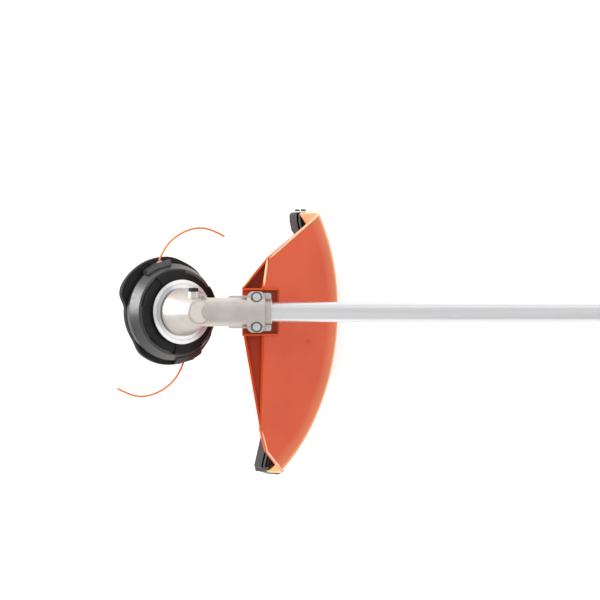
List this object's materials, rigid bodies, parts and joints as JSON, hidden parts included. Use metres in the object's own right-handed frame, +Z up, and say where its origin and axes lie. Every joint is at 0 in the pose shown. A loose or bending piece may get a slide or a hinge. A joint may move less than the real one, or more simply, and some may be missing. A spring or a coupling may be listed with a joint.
{
  "type": "brush cutter",
  "caption": "Battery brush cutter: straight aluminium shaft, angle gearbox, line head with two cutting lines, wide deflector guard with skirt, loop handle, throttle grip and rear power unit.",
  "frame": {"origin": "middle of the machine's box on the ground it rests on, without the two cutting lines", "axes": "+X runs along the level shaft from the line head back to the power unit, +Z is up and +Y is to the left of a user who looks along -X"},
  "size_m": [1.7775, 0.3397, 0.3799],
  "materials": {
    "cast_aluminium": "satin, shot-blasted casting",
    "tube_aluminium": "drawn and clear-anodised, fine lengthwise brushing",
    "plated_steel": "zinc-plated, fine turning marks",
    "hard_steel": "ground and oiled",
    "black_screw": "black oxide",
    "head_plastic": "satin, fine moulded grain",
    "knob_plastic": "scuffed grain",
    "guard_plastic": "semi-gloss, faint moulded grain",
    "skirt_plastic": "satin",
    "line_nylon": "extruded, semi-gloss",
    "spool_plastic": "satin",
    "grip_rubber": "soft-touch, fine grain",
    "handle_plastic": "fine grain",
    "housing_plastic": "semi-gloss with fine grain",
    "dark_plastic": "fine grain",
    "control_plastic": "satin",
    "foot_rubber": "matte",
    "copper_winding": "laminations and enamelled wire",
    "cell_wrap": "shrink-wrapped",
    "board": "solder mask",
    "bearing_steel": "ground",
    "brass": "turned"
  },
  "bodies": {
    "frame": {"gearbox_housing": "cast_aluminium", "grease_plug": "black_screw", "bearing_outer_rings": "bearing_steel", "bearing_carrier": "cast_aluminium", "retaining_ring": "hard_steel", "guard": "guard_plastic", "skirt": "skirt_plastic", "line_knife": "plated_steel", "knife_screws": "black_screw", "guard_clamp": "cast_aluminium", "guard_bracket": "plated_steel", "clamp_screws": "plated_steel", "guard_nuts": "plated_steel", "shaft_tube": "tube_aluminium", "shaft_bushes": "dark_plastic", "carrying_ring": "plated_steel", "carrying_ring_screw": "black_screw", "grip_left": "grip_rubber", "grip_right": "grip_rubber", "lever_pins": "hard_steel", "grip_screws": "black_screw", "trigger_switch": "dark_plastic", "power_housing_left": "housing_plastic", "power_housing_right": "housing_plastic", "housing_screws": "black_screw", "motor_stator": "copper_winding", "controller": "board", "rubber_feet": "foot_rubber"},
    "drive": {"drive_shaft": "hard_steel", "pinion": "hard_steel", "pinion_bearing_inners": "bearing_steel", "motor_rotor": "hard_steel", "cooling_fan": "dark_plastic"},
    "mowing_head": {"output_shaft": "hard_steel", "bevel_gear": "hard_steel", "output_bearing_inners": "bearing_steel", "thrust_plate": "plated_steel", "wrap_ring": "head_plastic", "head_housing": "head_plastic", "head_cover": "head_plastic", "line_eyelets": "plated_steel", "arbor_nut": "plated_steel", "line_upper": "line_nylon", "line_lower": "line_nylon", "feed_spring": "hard_steel"},
    "feed_carrier": {"feed_sleeve": "brass"},
    "spool_and_knob": {"spool": "spool_plastic", "wound_line": "line_nylon", "bump_knob": "knob_plastic"},
    "front_handle": {"loop_handle": "grip_rubber", "handle_clamp_upper": "handle_plastic", "handle_clamp_lower": "handle_plastic", "handle_clamp_bolts": "plated_steel"},
    "handle_knob": {"clamp_knob": "control_plastic"},
    "throttle": {"trigger": "control_plastic"},
    "throttle_lock": {"lockout_lever": "control_plastic"},
    "speed_switch": {"speed_button": "control_plastic"},
    "battery": {"battery_case": "dark_plastic", "battery_cells": "cell_wrap"},
    "latch": {"battery_latch": "control_plastic"}
  },
  "joints": [
    {"name": "head_spin", "type": "hinge", "parent": "frame", "child": "mowing_head", "pos_m": [-0.79783, 0.03831, 0.17997], "axis": [0.4848, 0, 0.8746], "continuous": true},
    {"name": "drive_spin", "type": "hinge", "parent": "frame", "child": "drive", "pos_m": [-0.09783, 0.03831, 0.17997], "axis": [1, 0, 0], "continuous": true},
    {"name": "feed_press", "type": "slide", "parent": "mowing_head", "child": "feed_carrier", "axis": [0.4848, 0, 0.8746], "range_m": [0, 0.005], "stiffness_N_per_m": 2500, "springref_m": -0.004, "deforming": ["feed_spring"]},
    {"name": "spool_turn", "type": "hinge", "parent": "feed_carrier", "child": "spool_and_knob", "pos_m": [-0.82692, 0.03831, 0.12749], "axis": [0.4848, 0, 0.8746], "continuous": true},
    {"name": "handle_slide", "type": "slide", "parent": "frame", "child": "front_handle", "axis": [1, 0, 0], "range_m": [-0.05, 0.05]},
    {"name": "knob_turn", "type": "hinge", "parent": "front_handle", "child": "handle_knob", "pos_m": [0.10217, 0.06231, 0.14997], "axis": [0, 0, 1], "continuous": true},
    {"name": "trigger_pull", "type": "hinge", "parent": "frame", "child": "throttle", "pos_m": [0.36217, 0.03831, 0.15397], "axis": [0, -1, 0], "range_deg": [0, 8], "stiffness_Nm_per_rad": 0.8, "springref_deg": -14.32},
    {"name": "lock_press", "type": "hinge", "parent": "frame", "child": "throttle_lock", "pos_m": [0.44817, 0.03831, 0.19997], "axis": [0, -1, 0], "range_deg": [0, 6], "stiffness_Nm_per_rad": 0.8, "springref_deg": -11.46},
    {"name": "speed_press", "type": "slide", "parent": "frame", "child": "speed_switch", "axis": [0, 0, -1], "range_m": [0, 0.002], "stiffness_N_per_m": 800, "springref_m": -0.002},
    {"name": "battery_slide", "type": "slide", "parent": "frame", "child": "battery", "axis": [1, 0, 0], "range_m": [0, 0.2]},
    {"name": "latch_lift", "type": "hinge", "parent": "frame", "child": "latch", "pos_m": [0.82817, 0.03831, 0.12397], "axis": [0, -1, 0], "range_deg": [0, 12], "stiffness_Nm_per_rad": 0.8, "springref_deg": -11.46}
  ],
  "couplings": [
    {"joint": "drive_spin", "follows": "head_spin", "ratio": 1.7273}
  ]
}
